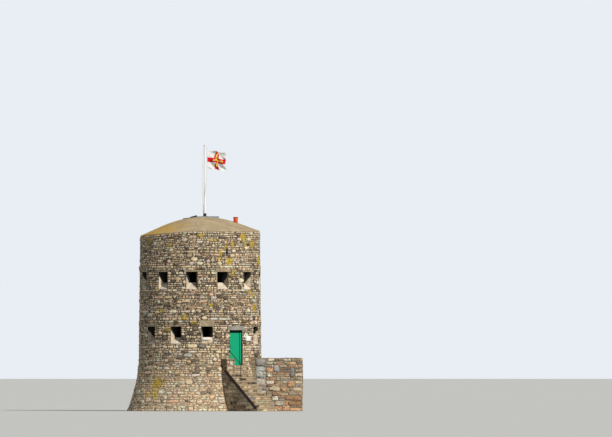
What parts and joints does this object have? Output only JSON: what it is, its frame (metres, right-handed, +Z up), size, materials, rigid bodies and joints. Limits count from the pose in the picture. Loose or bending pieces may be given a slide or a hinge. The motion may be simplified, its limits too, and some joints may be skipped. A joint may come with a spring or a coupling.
{
  "type": "loophole tower",
  "caption": "Round granite watch tower with staggered rows of splayed loopholes, a green door at the head of stone steps, a low concrete cap and a flag on a pole.",
  "frame": {"origin": "on the tower's axis at the lowest ground, in the middle of its foot", "axes": "+Z up along the tower, -Y towards the viewer of the picture, +X to the right"},
  "size_m": [8.7999, 8.9823, 13.4],
  "materials": {
    "rubble_stone": "rough",
    "dressed_stone": "rough",
    "concrete": "rough",
    "pale_concrete": "rough",
    "green_paint": "satin",
    "timber": "rough",
    "iron": "rough",
    "white_paint": "satin",
    "dark_metal": "satin",
    "terracotta": "matte",
    "rope": "matte",
    "flag_cloth": "matte"
  },
  "bodies": {
    "tower": {"chimney_pot": "terracotta", "deck_entrance": "timber", "deck_upper": "timber", "door_frame": "green_paint", "door_lintel": "dressed_stone", "door_pintles": "iron", "door_threshold": "dressed_stone", "flag": "flag_cloth", "flagpole": "white_paint", "ground_floor": "dressed_stone", "halyard": "rope", "joists_entrance": "timber", "joists_upper": "timber", "lintels_lower": "dressed_stone", "lintels_upper": "dressed_stone", "pier_coping": "dressed_stone", "piers_lower": "rubble_stone", "piers_upper": "rubble_stone", "pole_cleat": "dark_metal", "pole_shoe": "dark_metal", "pole_truck": "white_paint", "roof_cap": "concrete", "roof_hatch": "dark_metal", "roof_plinth": "pale_concrete", "side_wall": "rubble_stone", "sills_lower": "dressed_stone", "sills_upper": "dressed_stone", "stair_core": "rubble_stone", "stair_pier": "rubble_stone", "stair_treads": "dressed_stone", "wall_base_1": "rubble_stone", "wall_base_2": "rubble_stone", "wall_base_3": "rubble_stone", "wall_head_1": "rubble_stone", "wall_head_2": "rubble_stone", "wall_head_3": "rubble_stone", "wall_lower_1": "rubble_stone", "wall_lower_2": "rubble_stone", "wall_lower_3": "rubble_stone", "wall_middle_1": "rubble_stone", "wall_middle_2": "rubble_stone", "wall_middle_3": "rubble_stone"},
    "door": {"door_leaf": "green_paint", "door_bands": "iron", "door_handle": "green_paint"}
  },
  "joints": [
    {"name": "door_hinge", "type": "hinge", "parent": "tower", "child": "door", "pos_m": [1.94283, -2.02565, 3.17], "axis": [0, 0, -1], "range_deg": [0, 90]}
  ]
}
